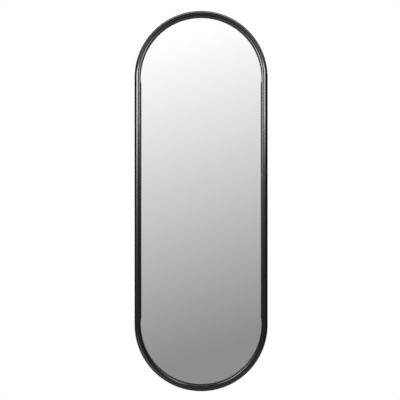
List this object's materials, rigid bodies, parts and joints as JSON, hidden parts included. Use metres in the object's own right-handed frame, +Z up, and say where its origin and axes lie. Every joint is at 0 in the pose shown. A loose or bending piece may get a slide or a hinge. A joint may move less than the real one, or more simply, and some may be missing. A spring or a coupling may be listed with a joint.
{
  "type": "wall mirror",
  "caption": "Tall capsule-shaped wall mirror in a slim half-round black metal frame, with a backing board held by turn buttons and keyhole plates to hang it on wall screws.",
  "frame": {"origin": "on the wall plane, midway between the round entries of the two keyholes", "axes": "+Z up, +Y into the wall, so that the mirror faces -Y"},
  "size_m": [0.35, 0.025, 1],
  "materials": {
    "frame_lacquer": "gloss",
    "silvered_glass": "polished",
    "board": "matte",
    "foam": "matte",
    "film": "satin",
    "tape": "matte",
    "key_metal": "satin",
    "dark_screw": "satin",
    "zinc_sheet": "satin",
    "zinc_screw": "satin",
    "bumper": "matte"
  },
  "bodies": {
    "mirror": {"frame_top_arc": "frame_lacquer", "frame_bottom_arc": "frame_lacquer", "frame_left_rail": "frame_lacquer", "frame_right_rail": "frame_lacquer", "mirror_glass": "silvered_glass", "backing_board": "board", "foam_sheet": "foam", "safety_film": "film", "cushion_tape": "tape", "splice_key_top_left": "key_metal", "splice_key_top_right": "key_metal", "splice_key_bottom_left": "key_metal", "splice_key_bottom_right": "key_metal", "splice_grub_screws": "dark_screw", "hanger_plate_left": "zinc_sheet", "hanger_plate_right": "zinc_sheet", "turn_button_screws": "zinc_screw", "hanger_screws": "zinc_screw", "wall_bumper_left": "bumper", "wall_bumper_right": "bumper"},
    "turn_button_bottom": {"turn_button_bottom": "zinc_sheet"},
    "turn_button_left_lower": {"turn_button_left_lower": "zinc_sheet"},
    "turn_button_left_middle": {"turn_button_left_middle": "zinc_sheet"},
    "turn_button_left_upper": {"turn_button_left_upper": "zinc_sheet"},
    "turn_button_right_lower": {"turn_button_right_lower": "zinc_sheet"},
    "turn_button_right_middle": {"turn_button_right_middle": "zinc_sheet"},
    "turn_button_right_upper": {"turn_button_right_upper": "zinc_sheet"},
    "turn_button_top": {"turn_button_top": "zinc_sheet"}
  },
  "joints": [
    {"name": "turn_button_top_turn", "type": "hinge", "parent": "mirror", "child": "turn_button_top", "pos_m": [0, -0.0042, 0.224], "axis": [0, 1, 0], "range_deg": [-90, 90]},
    {"name": "turn_button_bottom_turn", "type": "hinge", "parent": "mirror", "child": "turn_button_bottom", "pos_m": [0, -0.0042, -0.762], "axis": [0, 1, 0], "range_deg": [-90, 90]},
    {"name": "turn_button_left_upper_turn", "type": "hinge", "parent": "mirror", "child": "turn_button_left_upper", "pos_m": [-0.168, -0.0042, -0.059], "axis": [0, 1, 0], "range_deg": [-90, 90]},
    {"name": "turn_button_left_middle_turn", "type": "hinge", "parent": "mirror", "child": "turn_button_left_middle", "pos_m": [-0.168, -0.0042, -0.269], "axis": [0, 1, 0], "range_deg": [-90, 90]},
    {"name": "turn_button_left_lower_turn", "type": "hinge", "parent": "mirror", "child": "turn_button_left_lower", "pos_m": [-0.168, -0.0042, -0.479], "axis": [0, 1, 0], "range_deg": [-90, 90]},
    {"name": "turn_button_right_upper_turn", "type": "hinge", "parent": "mirror", "child": "turn_button_right_upper", "pos_m": [0.168, -0.0042, -0.059], "axis": [0, 1, 0], "range_deg": [-90, 90]},
    {"name": "turn_button_right_middle_turn", "type": "hinge", "parent": "mirror", "child": "turn_button_right_middle", "pos_m": [0.168, -0.0042, -0.269], "axis": [0, 1, 0], "range_deg": [-90, 90]},
    {"name": "turn_button_right_lower_turn", "type": "hinge", "parent": "mirror", "child": "turn_button_right_lower", "pos_m": [0.168, -0.0042, -0.479], "axis": [0, 1, 0], "range_deg": [-90, 90]}
  ]
}
